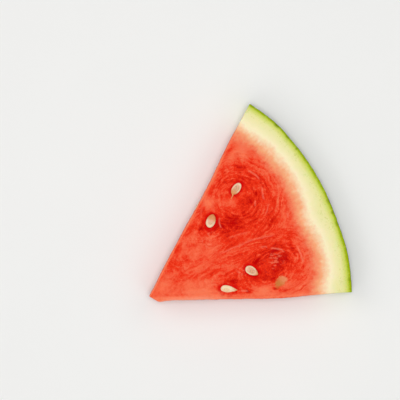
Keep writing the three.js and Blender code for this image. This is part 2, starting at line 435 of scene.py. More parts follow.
def bend_block(place, thickness, kept):
    """Takes a place in the block to its place in the wedge."""
    height = place.z + thickness / 2
    near, far = line_through(place.y / BLOCK_WIDTH + 0.5, height)
    length = (far - near).length
    along = squeezed(place.x, BLOCK_LENGTH / 2, length / 2, kept) / length + 0.5
    short_near, short_far = line_through(0, height)
    long_near, long_far = line_through(1, height)
    half_width = (long_near.lerp(long_far, along) - short_near.lerp(short_far, along)).length / 2
    across = squeezed(place.y, BLOCK_WIDTH / 2, half_width, kept) / (2 * half_width) + 0.5
    near, far = line_through(across, height)
    point = near.lerp(far, along)
    point += LONG_OUT * read_off(LONG_CUT_BOW, along) * smooth(1 - BOW_REACH, 1, across)
    point += SHORT_OUT * read_off(SHORT_CUT_BOW, along) * smooth(BOW_REACH, 0, across)
    return Vector((point.x, point.y, height))


def depth_under_skin(point):
    return skin_radius(bearing(point), point.z) - (point.xy - AXIS).length


def rind_place(point, depth):
    """The depth at which a rind of even thickness would look as this one does here."""
    angle = degrees(bearing(point))
    line = read_off(LINE_LOSSES, angle) * hump(depth, *LINE_DEPTH)
    return depth + line - read_off(RIND_SWELLS, angle) * smooth(*RIND_SWELLS_FROM, depth)


def face_axes(face):
    """A cut face's own frame: along it from the tip, across it, out of it, and where it starts."""
    up = Vector((0, 0, 1))
    forward = Vector((1, 0, 0))
    long_way = Matrix.Rotation(HALF_ANGLE, 3, "Z") @ forward
    short_way = Matrix.Rotation(-HALF_ANGLE, 3, "Z") @ forward
    left = Vector((0, 1, 0))
    return {
        "upper": (forward, left, up, TOP),
        "under": (forward, left, -up, WEDGE_LOW.z),
        "long_side": (long_way, up, up.cross(long_way), WEDGE_LOW.z),
        "short_side": (short_way, up, short_way.cross(up), WEDGE_LOW.z),
    }[face]


def seed_place(face, seed):
    """The matrix that takes a seed lying with its point along X to its place in a face."""
    along, across, out, height = face_axes(face)
    middle = Vector((TIP.x, TIP.y, height))
    middle += along * seed.along + across * seed.across - out * seed.sunk
    face_turn = Matrix((along, out.cross(along), out)).transposed()
    angles = (seed.roll, -seed.pitch, seed.turn)
    own_turn = Euler([radians(angle) for angle in angles], "XYZ").to_matrix()
    return Matrix.Translation(middle) @ (face_turn @ own_turn).to_4x4()


def seed_sizes(seed):
    """Half the length, width and thickness of a seed."""
    length = SEED_LENGTH * seed.size * seed.stretch
    return Vector((length, SEED_WIDTH * seed.size, SEED_THICKNESS * seed.size)) / 2


def all_seeds():
    """Each seed's name, face and row of the table."""
    for face, row in SEEDS.items():
        for number, seed in enumerate(row, 1):
            yield f"seed_{face}_{number}", face, seed


def widest_place(point):
    """Where a seed is widest, as a share of the way from its round end."""
    return SEED_ROUND_END / (SEED_ROUND_END + point)


def drop(share, point):
    """The outline of a seed, 1 at its widest: share is 0 at the round end and 1 at the point."""
    widest = widest_place(point)
    share = min(max(share, 0.0), 1.0)
    return (share / widest) ** SEED_ROUND_END * ((1 - share) / (1 - widest)) ** point


class Pocket:
    """The hollow that a seed has left round itself in the flesh."""

    REACH = 9.0  # nothing further off than this is changed
    DETAIL = (1.45, 3)  # how far the finer squares go: in the seed's half widths, and above and below it
    FACING = 0.6  # a face that is turned further away than this from the seed's own is left alone
    GAP = 0.06
    WALL = 0.1  # width of the hollow's wall, as a share of the seed's half width
    LIP = 0.07
    LIP_PLACE = (1.0, 1.25, 1.25, 1.7)  # in the seed's half widths
    FILM = 0.12  # how far the veiled seed's film stands up
    LAP = 0.47  # how far the flesh beside a held seed's low edge stands up
    LAP_PLACE = (0.1, -0.5, -1.0, -1.9)  # across the seed, in its half widths
    LAP_END = (3.8, 1.8)  # along the seed
    FALL = 0.25  # how far the flesh falls away at that seed's point
    FALL_PLACE = (2.0, 3.5, 4.8, 6.0)  # along the seed
    FALL_WIDTH = (2.0, 0.6)

    def __init__(self, name, face, seed):
        self.veiled = name == VEILED_SEED
        self.seed = seed
        self.sizes = seed_sizes(seed)
        place = seed_place(face, seed)
        self.back = place.inverted()
        self.middle = place.translation.copy()
        self.out = face_axes(face)[2]

    def local(self, point):
        return self.back @ point

    def beyond(self, point):
        return (point - self.middle).length > self.REACH

    def wants_detail(self, point):
        """Whether a point is where the hollow or its lip will be."""
        if self.beyond(point):
            return False
        here = self.local(point)
        round_seed, tall = self.DETAIL
        return abs(here.z) < tall and self.spread(here) < round_seed

    def spread(self, here):
        """0 over the middle of the seed, 1 at its edge, and more outside."""
        widest = (widest_place(self.seed.point) - 0.5) * 2 * self.sizes.x
        from_widest = here.x - widest
        end = self.sizes.x - widest if from_widest > 0 else self.sizes.x + widest
        return hypot(from_widest / end, here.y / self.sizes.y)

    def lift(self, point, normal):
        """How far the flesh stands out of the cut there, below zero in the hollow."""
        if self.veiled or self.beyond(point) or normal.dot(self.out) < self.FACING:
            return 0.0
        here = self.local(point)
        spread = self.spread(here)
        if self.seed.held:
            lap = hump(here.y / self.sizes.y, *self.LAP_PLACE) * smooth(*self.LAP_END, here.x)
            fall = hump(here.x, *self.FALL_PLACE) * smooth(*self.FALL_WIDTH, abs(here.y))
            return self.LAP * lap * smooth(1.8, 1.0, spread) - self.FALL * fall
        depth = self.seed.sunk + self.GAP
        if spread < 1:
            return -(depth + self.sizes.z * sqrt(1 - spread * spread))
        return self.LIP * hump(spread, *self.LIP_PLACE) - depth * (1 - smooth(1, 1 + self.WALL, spread))

    def halo(self, point):
        """1 against the seed, 0 a few millimetres off: darker gel there, partly real and partly painted
        shade.
        """
        here = self.local(point)
        if here.length > self.REACH or self.veiled:
            return 0.0
        share = smooth(2.1, 1.0, self.spread(here)) * smooth(3.5, 1.0, abs(here.z)) * smooth(5.5, 3.5, here.x)
        if self.seed.held:
            share *= 1 - 0.65 * smooth(0.3, -0.7, here.y / self.sizes.y)
        return share

    def film(self, point):
        """The height out of the cut at which a film of flesh would lie over the seed, or a very low one."""
        if not self.veiled or self.beyond(point):
            return -self.REACH
        spread = self.spread(self.local(point))
        return self.FILM - self.seed.sunk + self.sizes.z * sqrt(max(1 - spread * spread, 0))


def chamber_place(chamber, point, tailed):
    """How far out of a chamber's middle a point is, 1 at its wall or its drop's, and in which direction."""
    offset = point.xy - Vector(chamber.middle)
    length, width = chamber.reach
    if tailed:
        offset = turned(offset, -chamber.turn)
        if offset.x < 0:
            length = chamber.tail
    offset = Vector((offset.x / length, offset.y / width))
    return offset.length, offset.normalized()


def chamber_ridges(point):
    """Fine ridges that run round the chambers."""
    fine, dense, tall = RIDGE_WAVES
    ridges = []
    for tailed in (False, True):
        places = [chamber_place(chamber, point, tailed) for chamber in CHAMBERS]
        out, way = min(places, key=lambda place: place[0])
        ridges.append(noise(Vector((way.x * fine, way.y * fine + point.z / tall, out * dense))))
        if not tailed:
            inside = smooth(1.25, 0.85, out)
    return smooth(1.9, 1.1, out) * (inside * ridges[0] + (1 - inside) * ridges[1])


def patch_share(patch, point):
    """1 in the middle of a patch, 0 outside it."""
    x, y, half_length, half_width, turn, _ = patch
    drift = (TOP - point.z) * CHAMBER_DRIFT
    offset = turned(point.xy - Vector((x, y)) - drift, -turn)
    return smooth(1.0, 0.0, hypot(offset.x / half_length, offset.y / half_width) / PATCH_REACH)


def edge_light_drop(point):
    """How much less red the flesh is painted beside the short cut's upper edge: painted light, as if the edge
    caught it.
    """
    offset = point.xy - TIP
    along = offset.x * cos(HALF_ANGLE) - offset.y * sin(HALF_ANGLE)
    inside = offset.x * sin(HALF_ANGLE) + offset.y * cos(HALF_ANGLE)
    beside = hump(inside, *EDGE_LIGHT_PLACE)
    return read_off(PAINTED_EDGE_LIGHT, along) * beside * smooth(*EDGE_LIGHT_DOWN, TOP - point.z)


def redness(point):
    """How much redder the flesh is there than its plain colour, less the painted light along the short cut's
    edge.
    """
    return sum(patch[5] * patch_share(patch, point) for patch in FLESH_PATCHES) - edge_light_drop(point)


def torn(point):
    """How far shreds stand up where the cut has torn the flesh."""
    lift = 0.0
    fuzz, size = SHRED_FUZZ
    for x, y, reach, height in TORN_PLACES:
        near = smooth(reach, reach / 3, (point.xy - Vector((x, y))).length)
        if near > 0:
            along, across = turned(point.xy, SHRED_TURN)
            strands = noise(Vector((along / SHRED_LENGTH, across / SHRED_WIDTH, height)))
            lift += near * height * max(strands + fuzz * noise(point / size) - 0.03, 0)
    return lift * smooth(*SHRED_DOWN, TOP - point.z)


def wave(point, height, size):
    return height * noise(point / size)


def relief(point, normal, shred, pockets, strength):
    """How far the surface stands out of the plain wedge."""
    under_skin = depth_under_skin(point)
    if under_skin < SKIN_DEPTH and abs(normal.z) < SKIN_TILT:
        return wave(point, *SKIN_WAVE)
    flesh = smooth(*FLESH_FROM, under_skin)
    lift = wave(point, *BROAD_WAVE) - FLESH_SHRINK * flesh
    for height, fleshy, size in FINE_WAVES:
        lift += wave(point, (height + fleshy * flesh) * strength, size)
    lift += RIDGE_HEIGHT * flesh * strength * chamber_ridges(point)
    if normal.z > LEVEL_FACE:
        least, sink = RED_SINKS
        lift += shred - sink * max(redness(point) - least, 0) * strength
    lift += sum(pocket.lift(point, normal) for pocket in pockets)
    if normal.z > LEVEL_FACE:
        lift = max(lift, *(pocket.film(point) for pocket in pockets))
    if normal.z < -LEVEL_FACE:
        lift = min(lift, 0.0)
    return lift


def link(thing):
    bpy.context.scene.collection.objects.link(thing)
    return thing


def metres(bm, name, materials):
    """Writes a mesh that was made in millimetres as an object at the origin, in metres."""
    bmesh.ops.scale(bm, vec=(MM, MM, MM), verts=bm.verts)
    mesh = bpy.data.meshes.new(name)
    bm.to_mesh(mesh)
    bm.free()
    mesh.shade_smooth()
    for material in materials:
        mesh.materials.append(material)
    return link(bpy.data.objects.new(name, mesh))


def rounded_block(sizes, rounding):
    """A block with rounded edges, cut into small squares."""
    bm = bmesh.new()
    bmesh.ops.create_cube(bm, size=1.0)
    bmesh.ops.scale(bm, vec=sizes, verts=bm.verts)
    bmesh.ops.bevel(
        bm, geom=bm.edges[:], offset=rounding, offset_type="OFFSET", affect="EDGES",
        segments=ROUNDING_STEPS, profile=0.5, material=-1,
    )
    for axis, cuts in enumerate(BLOCK_CUTS):
        long_edges = [
            edge for edge in bm.edges
            if abs(edge.verts[0].co[axis] - edge.verts[1].co[axis]) > 0.9 * (sizes[axis] - 2 * rounding)
        ]
        bmesh.ops.subdivide_edges(bm, edges=long_edges, cuts=cuts, use_grid_fill=True)
    # The rounded edges are left out, and only the flat of the top is cut finer.
    top = sizes[2] / 2 - rounding / 10
    upper = [edge for edge in bm.edges if min(vertex.co.z for vertex in edge.verts) > top]
    bmesh.ops.subdivide_edges(bm, edges=upper, cuts=1, use_grid_fill=True)
    return bm


def refine_round_seeds(bm, pockets):
    """Cuts the squares round each seed finer, until its pocket has a smooth wall."""
    for _ in range(2):
        coarse = [edge for edge in bm.edges if edge.calc_length() > SEED_SQUARES]
        near = []
        for edge in coarse:
            middle = (edge.verts[0].co + edge.verts[1].co) / 2
            if any(pocket.wants_detail(middle) for pocket in pockets):
                near.append(edge)
        bmesh.ops.subdivide_edges(bm, edges=near, cuts=1, use_grid_fill=True)
    # A point between only two edges could leave a doubled triangle.
    bmesh.ops.dissolve_verts(bm, verts=[vertex for vertex in bm.verts if len(vertex.link_edges) == 2])


def write_values(mesh, **values):
    """Stores numbers for each point of a mesh, for its material to read."""
    for name, numbers in values.items():
        mesh.attributes.new(name, "FLOAT", "POINT").data.foreach_set("value", numbers)


def brink_light_share(place, thickness):
    """1 on the block's long edges between level and upright cuts, 0 a little way in from them; painted light
    there.
    """
    return smooth(*BRINK_LIGHT_WIDTH, max(BLOCK_WIDTH / 2 - abs(place.y), thickness / 2 - abs(place.z)))


def make_wedge_mesh(look):
    """The wedge's mesh, with what its material reads at each point."""
    thickness = look.thickness / MM
    rounding = look.rounding / MM
    bm = rounded_block((BLOCK_LENGTH, BLOCK_WIDTH, thickness), rounding)
    brink = bm.verts.layers.float.new("brink")
    for vertex in bm.verts:
        vertex[brink] = brink_light_share(vertex.co, thickness)
        vertex.co = bend_block(vertex.co, thickness, 2 * rounding)
    pockets = [Pocket(*seed) for seed in all_seeds()]
    refine_round_seeds(bm, pockets)
    bmesh.ops.recalc_face_normals(bm, faces=bm.faces)
    bm.normal_update()
    depths = [depth_under_skin(vertex.co) for vertex in bm.verts]
    bm.verts.index_update()
    for face in bm.faces:
        if max(depths[vertex.index] for vertex in face.verts) < rounding * 0.4:
            face.material_index = 1
    spots = [vertex.co.copy() for vertex in bm.verts]
    shreds = [torn(spot) for spot in spots]
    ripeness = [rind_place(spot, depth) for spot, depth in zip(spots, depths)]
    patches = [redness(spot) for spot in spots]
    gel_and_shade_rings = [max(pocket.halo(spot) for pocket in pockets) for spot in spots]
    veiled = next(pocket for pocket in pockets if pocket.veiled)
    veils = [veiled.spread(veiled.local(spot)) for spot in spots]
    veil_ways = [veiled.local(spot).x / veiled.sizes.x for spot in spots]
    for vertex, spot, shred in zip(bm.verts, spots, shreds):
        vertex.co += vertex.normal * relief(spot, vertex.normal, shred, pockets, look.relief)
    bruises = [
        nick(bearing(vertex.co), vertex.co.z) * BRUISE_SHADE * smooth(*BRUISE_DEPTH, depth)
        for vertex, depth in zip(bm.verts, depths)
    ]
    piece = metres(bm, "wedge_flesh_and_rind", [flesh_material(look), skin_material(look)])
    write_values(
        piece.data, nicks=bruises, rind=ripeness, redness=patches, halo=gel_and_shade_rings,
        shreds=[shred / PALE_SHRED for shred in shreds], veil=veils, veil_way=veil_ways,
    )
    return piece


PLAIN_RED = 0.44  # from 0, pale, to 1, deep
RAMP_DEPTH = 1.6  # how far in the rind's colours are laid out, in rind depths
STRIPE_WAVES = 0.42  # radians of the skin's stripes for each millimetre round the melon


class Term:
    """A number, vector or colour that a node gives. What is done with it makes further nodes."""

    def __init__(self, tree, kind, inputs, output=0, **settings):
        self.tree = tree
        self.made = tree.nodes.new(kind)
        for name, value in settings.items():
            setattr(self.made, name, value)
        for socket, value in inputs.items():
            feed(self.made.inputs[socket], value)
        self.socket = self.made.outputs[output]

    def node(self, *arguments, **settings):
        return Term(self.tree, *arguments, **settings)

    def length(self):
        return self.node("ShaderNodeVectorMath", {0: self}, "Value", operation="LENGTH")

    def part(self, axis):
        """One of a vector's three numbers."""
        return self.node("ShaderNodeSeparateXYZ", {0: self}, axis)

    def raised(self, height):
        """The vector with its Z replaced."""
        return self.node("ShaderNodeCombineXYZ", {0: self.part("X"), 1: self.part("Y"), 2: height})

    def grain(self, size, detail=2.0, roughness=0.5, deep=None):
        """Soft noise from -1 to 1, with grains of that size. deep moves it on in a fourth direction."""
        inputs = {"Vector": self, "Scale": 1 / size, "Detail": detail, "Roughness": roughness}
        if deep is not None:
            inputs["W"] = deep
        kind = "3D" if deep is None else "4D"
        return (self.node("ShaderNodeTexNoise", inputs, noise_dimensions=kind) - 0.5) * 2.0

    def rise(self, low, high, top=1.0):
        """0 at low, top at high, and smooth between."""
        inputs = {0: self, 1: low, 2: high, 3: 0.0, 4: top}
        return self.node("ShaderNodeMapRange", inputs, interpolation_type="SMOOTHSTEP")

    def blend(self, first, second):
        """The colour that is this share of the way from first to second."""
        return self.node("ShaderNodeMix", {0: self, 6: first, 7: second}, 2, data_type="RGBA")

    def between(self, first, second):
        """The number that is this share of the way from first to second."""
        return self.node("ShaderNodeMix", {0: self, 2: first, 3: second}, data_type="FLOAT")

    def ramp(self, *stops):
        """The colour there, from (number, colour) stops."""
        term = self.node("ShaderNodeValToRGB", {0: self})
        elements = term.made.color_ramp.elements
        while len(elements) < len(stops):
            elements.new(1.0)
        for element, (position, colour) in zip(elements, stops):
            element.position = position
            element.color = (*colour, 1.0)
        return term

    def bump(self, distance, under=None):
        """A normal from this height, of 0 to 1, over another normal."""
        inputs = {"Height": self, "Distance": distance * MM}
        if under is not None:
            inputs["Normal"] = under
        return self.node("ShaderNodeBump", inputs)


def feed(socket, value):
    """Gives a node's input a value, or joins a term to it."""
    if isinstance(value, Term):
        socket.id_data.links.new(value.socket, socket)
    elif socket.type == "RGBA":
        socket.default_value = (*value, 1.0)
    else:
        socket.default_value = value


def combine(operation, *values):
    """Arithmetic on numbers, or on vectors, at least one of which is a term."""
    terms = [value for value in values if isinstance(value, Term)]
    vectors = any(isinstance(value, tuple) for value in values) or terms[0].socket.type != "VALUE"
    kind = "ShaderNodeVectorMath" if vectors else "ShaderNodeMath"
    return terms[0].node(kind, dict(enumerate(values)), operation=operation)


for sign, operation in (("add", "ADD"), ("sub", "SUBTRACT"), ("mul", "MULTIPLY"), ("truediv", "DIVIDE")):
    setattr(Term, f"__{sign}__", lambda one, other, operation=operation: combine(operation, one, other))
    setattr(Term, f"__r{sign}__", lambda one, other, operation=operation: combine(operation, other, one))


def scaled(vector, scale):
    """A vector times a number, at least one of which is a term."""
    term = vector if isinstance(vector, Term) else scale
    return term.node("ShaderNodeVectorMath", {0: vector, 3: scale}, operation="SCALE")


class Recipe:
    """One material, mixed from terms."""

    def __init__(self, name):
        self.material = bpy.data.materials.new(name)
        self.material.use_nodes = True
        self.tree = self.material.node_tree

    def place(self):
        """Where a point is, in millimetres."""
        return scaled(Term(self.tree, "ShaderNodeTexCoord", {}, "Object"), 1 / MM)

    def read(self, name):
        """A number that the mesh has for each of its points."""
        return Term(self.tree, "ShaderNodeAttribute", {}, "Fac", attribute_name=name)

    def finish(self, **values):
        inputs = self.tree.nodes["Principled BSDF"].inputs
        for name, value in values.items():
            feed(inputs[name.replace("_", " ")], value)
        return self.material


def ring_place(place, chamber, tailed, wander):
    """How far out of a chamber's middle the surface is, and a vector that follows the rings round it."""
    offset = place - (*chamber.middle, 0)
    squash = (1 / chamber.reach[0], 1 / chamber.reach[1], 0)
    if tailed:
        inputs = {"Vector": offset, "Angle": radians(-chamber.turn)}
        offset = offset.node("ShaderNodeVectorRotate", inputs, rotation_type="Z_AXIS")
        behind = combine("MINIMUM", offset, (0, WEDGE_HIGH.y * 2, 0))
        offset = (offset - behind) * squash + behind * (1 / chamber.tail, squash[1], 0)
    else:
        offset = offset * squash
    reach = offset.length() + wander
    way = scaled(combine("NORMALIZE", offset), STREAKS_ROUND)
    return reach, way.raised(reach * STREAKS_OUT)


def chamber_streaks(place, wander):
    """Noise drawn out along rings round the chambers, and along the drops round those."""
    deep = TOP - place.part("Z")
    leaning = place - scaled((*CHAMBER_DRIFT, 0), deep)
    level = deep * STREAKS_DOWN
    layers = []
    for tailed in (False, True):
        placed = [ring_place(leaning, chamber, tailed, wander) for chamber in CHAMBERS]
        reaches = [reach for reach, _ in placed]
        streaks = [rings.grain(1.0, 3.0, 0.6, deep=level) for _, rings in placed]
        nearer = combine("SUBTRACT", *reaches).rise(-0.1, 0.1)
        layers.append((combine("MINIMUM", *reaches), nearer.between(*streaks)))
    (near, rings), (out, drops) = layers
    rings *= near.rise(0.15, 0.6)
    drops *= out.rise(2.3, 1.3)
    return near.rise(0.85, 1.25).between(rings, drops)


def vein_circle(start, end, bulge):
    """The middle and radius of the circle that a vein lies on. A straight one has a very large circle."""
    half = (end - start) / 2
    left = Vector((-half.y, half.x)).normalized()
    bulge = bulge if abs(bulge) > STRAIGHT_BULGE else STRAIGHT_BULGE
    radius = (half.length_squared + bulge**2) / (2 * bulge)
    return start + half + left * (bulge - radius), abs(radius)


def veins(place, wander):
    """1 on the fine veins of the upper face, and 0 away from them."""
    total = 0.0
    flat = (place + wander) * (1, 1, 0)
    for start, end, bulge, strength in VEINS:
        start, end = Vector(start), Vector(end)
        middle, radius = vein_circle(start, end, bulge)
        halfway = (start + end) / 2
        half_length = (end - start).length / 2
        off = combine("ABSOLUTE", (flat - (*middle, 0)).length() - radius)
        ends = (flat - (*halfway, 0)).length().rise(half_length * 1.05, half_length * 0.6)
        total = combine("MAXIMUM", total, off.rise(*VEIN_WIDTH, strength) * ends)
    return total * place.part("Z").rise(TOP - 3, TOP - 1)


def flesh_material(look):
    """Wet flesh that runs through a blush and a cream rind into a green line under the skin."""
    recipe = Recipe("wet_flesh_and_rind")
    place = recipe.place()
    stretched = place * (1, 1, 0.6)
    broad = stretched.grain(7.0)
    grains = stretched.grain(1.9, 3.0, 0.6)
    specks = place.grain(0.7, 2.0, 0.6)
    streaks = chamber_streaks(place, broad * 0.13)
    wander = place.node("ShaderNodeTexNoise", {"Vector": place, "Scale": 0.3, "Detail": 1.0}, 1)
    wander -= (0.5, 0.5, 0.5)
    vein = veins(place, wander)

    # How deep the red is. It is paler near the rind, and more even where it is pale. Along the cuts' edges it
    # is painted paler, as painted light, and beside a few seeds deeper, as painted shade.
    depth = recipe.read("rind")
    patches = recipe.read("redness")
    texture = broad * 0.20 + grains * 0.30 + specks * 0.34 + streaks * 0.66
    red = (
        PLAIN_RED
        + patches * 1.12
        + depth.rise(32, 20, -0.2)
        # painted light: paler along the cuts' long edges
        + recipe.read("brink") * -0.4
        + texture * patches.rise(-0.45, 0.45).between(0.4, 1.6)
    )
    flesh = red.ramp((0.0, look.pale), (0.45, look.red), (0.95, look.deep))
    # The palest flesh, reached where painted light along the cuts' edges takes the red below zero.
    flesh = red.rise(0.0, -0.5, 0.8).blend(flesh, look.salmon)
    flesh = (vein * 0.36).blend(flesh, look.vein)
    # The darker red round each seed: partly its real glassy gel, partly painted shade in the seed's pocket.
    halo = recipe.read("halo") + grains * 0.5 + broad * 0.4
    flesh = halo.rise(0.1, 0.95, 0.95).blend(flesh, look.halo)
    shreds = recipe.read("shreds") + specks * 0.6
    flesh = shreds.rise(0.15, 1.1, 0.4).blend(flesh, look.frost)

    # The rind, by its depth under the skin, with fibres that run inwards.
    height = place.part("Z")
    outward = combine("NORMALIZE", (place - (*AXIS, 0)) * (1, 1, 0))
    fibres = scaled(outward, 75.0).raised(depth * 0.2).grain(1.0, deep=height * 0.4)
    ragged = (
        depth
        + fibres * 1.6 * depth.rise(5, 16)
        + grains * 1.8 * depth.rise(1, 14)
        + broad * 2.0 * depth.rise(0, 16)
        + grains * 0.5
        + specks * 0.35
    )
    share = ragged / (RAMP_DEPTH * look.rind_depth / MM)
    rind = share.ramp(
        (0.0, look.rim), (0.038, look.rim), (0.09, look.lime), (0.185, look.straw),
        (0.41, look.cream), (0.63, look.blush), (0.94, look.red),
    )
    scratches = (specks + grains).rise(0.05, 0.6, 0.6) * depth.rise(9, 2.5)
    rind = scratches.blend(rind, look.scratch)
    rind = (recipe.read("nicks") * 0.85).blend(rind, look.nick)
    colour = share.rise(0.68, 1.03).blend(rind, flesh)

    # The veiled seed shows through its film.
    veil = recipe.read("veil") + grains * 0.55 + specks * 0.15
    veil_way = recipe.read("veil_way") + grains * 0.7
    seen = veil_way.rise(-1.0, 0.7).blend(look.veiled, look.veiled_point)
    over = height.rise(TOP - 4, TOP - 2)
    colour = (veil.rise(1.2, 0.6, 0.9) * over).blend(colour, seen)

    # Gloss and grain: small wet cells, most marked in the flesh.
    wet = share.rise(0.55, 0.9)
    cells = place.node("ShaderNodeTexVoronoi", {"Vector": place + wander, "Scale": 1.4}, "Distance")
    normal = ((grains + streaks + vein) * (0.1 + wet)).bump(0.16 * look.relief)
    normal = (cells * (0.15 + wet)).bump(0.1 * look.relief, normal)
    normal = (specks * (0.25 + wet)).bump(0.07 * look.relief, normal)
    return recipe.finish(
        Base_Color=colour,
        Roughness=0.36 + wet * -0.1 + specks * 0.1,
        Normal=normal,
        IOR=1.36,
        Specular_IOR_Level=0.05,
        Subsurface_Weight=0.25,
        Subsurface_Radius=(1.0, 0.25, 0.12),
        Subsurface_Scale=1.0 * MM,
        Coat_Weight=0.15,
        Coat_Roughness=0.15,
        Coat_IOR=1.34,
    )


def skin_material(look):
    """Waxy dark skin with ragged, mottled stripes that run from stem to blossom."""
    recipe = Recipe("waxy_striped_skin")
    place = recipe.place()
    outward = (place - (*AXIS, 0)) * (1, 1, 0)
    round_way = combine("ARCTAN2", outward.part("Y"), outward.part("X")) * RIND_RADIUS
    ragged = (place * (1, 1, 0.45)).grain(6.0, 4.0, 0.65)
    mottle = place.grain(2.2, 3.0, 0.7)
    specks = place.grain(0.6, 1.0)
    wave = combine("SINE", round_way * STRIPE_WAVES + ragged * 2.2)
    colour = (wave + mottle * 0.9).rise(-0.1, 0.9).blend(look.skin, look.stripe)
    return recipe.finish(
        Base_Color=(mottle * specks).rise(0.02, 0.3, 0.5).blend(colour, look.freckle),
        Roughness=0.33 + mottle * 0.06,
        Normal=(mottle + specks).bump(0.04),
        Coat_Weight=0.3,
        Coat_Roughness=0.25,
    )


def seed_material(look):
    """A moist seed coat: pale round its edge, pinkish in the middle and tan at the point."""
    recipe = Recipe("moist_seed_coat")
    place = recipe.place()
    mottle = place.grain(0.85, 3.0, 0.6)
    specks = place.grain(0.35)
    tan = recipe.read("seed_tan")
    edge = recipe.read("seed_edge") + mottle * 0.2
    point = recipe.read("seed_point") + mottle * 0.15
    colour = (tan.rise(0, 1) * point.rise(0.05, 0.5)).blend(look.coat, look.tan)
    for share, over in (
        (tan.rise(0, -1), look.ivory),
        (mottle.rise(0, 0.28, 0.9), look.olive),
        (mottle.rise(-0.03, -0.3, 0.9), look.rosy),
        ((edge + tan * -0.08).rise(0.08, 0.3), look.edge),
        (point.rise(0.6, 0.98, 0.9), look.point),
        (specks.rise(0.15, 0.9, 0.25), look.fleck),
    ):
        colour = share.blend(colour, over)
    return recipe.finish(
        Base_Color=colour,
        Roughness=0.26 + mottle * 0.08,
        Normal=(mottle + specks).bump(0.08),
        Subsurface_Weight=0.2,
        Subsurface_Radius=(1.0, 0.6, 0.4),
        Subsurface_Scale=0.8 * MM,
        Coat_Weight=0.5,
        Coat_Roughness=0.12,
    )


def thread_material(look):
    """The pale fibre that a seed hangs on."""
    recipe = Recipe("seed_thread_fibre")
    return recipe.finish(
        Base_Color=recipe.place().grain(0.8).rise(-0.6, 0.8).blend(look.thread, look.point),
        Roughness=0.35,
        Subsurface_Weight=0.3,
        Subsurface_Radius=(1.0, 0.4, 0.2),
        Subsurface_Scale=0.8 * MM,
    )


def dent(place, middle, width, depth=1):
    """How deep a round-bottomed groove is at a place."""
    return depth * exp(-(((place - middle) / width) ** 2))


def shape_seed(point, seed, lumps):
    """Takes a point of the unit ball to the seed: a flat drop with a groove inside its edge."""
    sizes = seed_sizes(seed)
    share = (point.x + 1) / 2
    ring = hypot(point.y, point.z)
    if ring < 1e-6:
        return Vector((point.x * sizes.x, 0, 0)), 1.0
    outline = drop(share, seed.point)
    side = point.y / ring
    top = point.z / ring
    edge = abs(side)
    crown = copysign(max(1 - edge**SEED_CROWN, 0.0) ** 0.5, top)
    groove = dent(edge, *EDGE_GROOVE) + dent(share, *POINT_GROOVE) * dent(edge, *POINT_GROOVE_SIDE)
    tall, fine = SEED_LUMPS
    swell = 1 + tall * noise(Vector((point.x * fine, point.y * fine, point.z + lumps)))
    height = outline**SEED_TAPER * (crown - copysign(groove, top)) * swell
    low = 1 - min(abs(height), 1)
    return Vector((point.x * sizes.x, outline * side * sizes.y * swell, height * sizes.z)), low


def make_seed(name, face, seed, material, lumps):
    """One seed in its place."""
    bm = bmesh.new()
    bmesh.ops.create_uvsphere(bm, **SEED_MESH, radius=1.0)
    bmesh.ops.rotate(bm, matrix=Matrix.Rotation(radians(90), 3, "Y"), verts=bm.verts)
    points = [(vertex.co.x + 1) / 2 + seed.tip for vertex in bm.verts]
    edges = []
    for vertex in bm.verts:
        vertex.co, edge = shape_seed(vertex.co, seed, lumps)
        edges.append(edge)
    bmesh.ops.transform(bm, matrix=seed_place(face, seed), verts=bm.verts)
    bmesh.ops.recalc_face_normals(bm, faces=bm.faces)
    piece = metres(bm, f"{name}_coat", [material])
    write_values(piece.data, seed_edge=edges, seed_point=points, seed_tan=[seed.tan] * len(points))
    return piece


def make_thread(name, face, seed, length, turn, material):
    """A tapering fibre from the seed's point down into the flesh."""
    bm = bmesh.new()
    thick, thin = THREAD_RADII
    bmesh.ops.create_cone(
        bm, cap_ends=True, segments=8, radius1=thick, radius2=thin, depth=length,
        matrix=Matrix.Rotation(radians(90), 4, "Y"),
    )
    lengthwise = [edge for edge in bm.edges if abs(edge.verts[0].co.x - edge.verts[1].co.x) > length / 2]
    bmesh.ops.subdivide_edges(bm, edges=lengthwise, cuts=14)
    place = seed_place(face, seed)
    point = place @ Vector((seed_sizes(seed).x - THREAD_ROOT, 0, 0))
    way = turned((place.to_3x3() @ Vector((1, 0, 0))).xy.normalized(), turn)
    side = Vector((-way.y, way.x))
    wave, angle = THREAD_WAVE
    over, into = THREAD_ENDS
    for vertex in bm.verts:
        share = vertex.co.x / length + 0.5
        away = way * (share * length) + side * (vertex.co.y + wave * sin(share * angle))
        sag = (TOP + over - point.z) * smooth(0, 0.35, share) - into * smooth(0.6, 1, share)
        vertex.co = Vector((point.x + away.x, point.y + away.y, point.z + vertex.co.z + sag))
    return metres(bm, f"{name}_thread", [material])


class MELON_OT_wedge(bpy.types.Operator):
    """Make the wedge itself: flesh, rind and skin"""

    bl_idname = "melon.make_wedge"
    bl_label = "Wedge"

    def execute(self, context):
        piece = make_wedge_mesh(context.scene.melon_wedge)
        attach(piece, "root")
        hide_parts("wedge")
        return {"FINISHED"}


class MELON_OT_seeds(bpy.types.Operator):
    """Make every seed in its pocket"""

    bl_idname = "melon.make_seeds"
    bl_label = "Seeds"

    def execute(self, context):
        material = seed_material(context.scene.melon_seeds)
        for lumps, (name, face, seed) in enumerate(all_seeds()):
            piece = make_seed(name, face, seed, material, lumps)
            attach(piece, "root")
            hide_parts(name)
        return {"FINISHED"}


class MELON_OT_threads(bpy.types.Operator):
    """Make the pale thread at the point of a seed"""

    bl_idname = "melon.make_threads"
    bl_label = "Seed threads"

    def execute(self, context):
        material = thread_material(context.scene.melon_seeds)
        for name, face, seed in all_seeds():
            if name in THREADS:
                piece = make_thread(name, face, seed, *THREADS[name], material)
                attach(piece, "root")
        return {"FINISHED"}


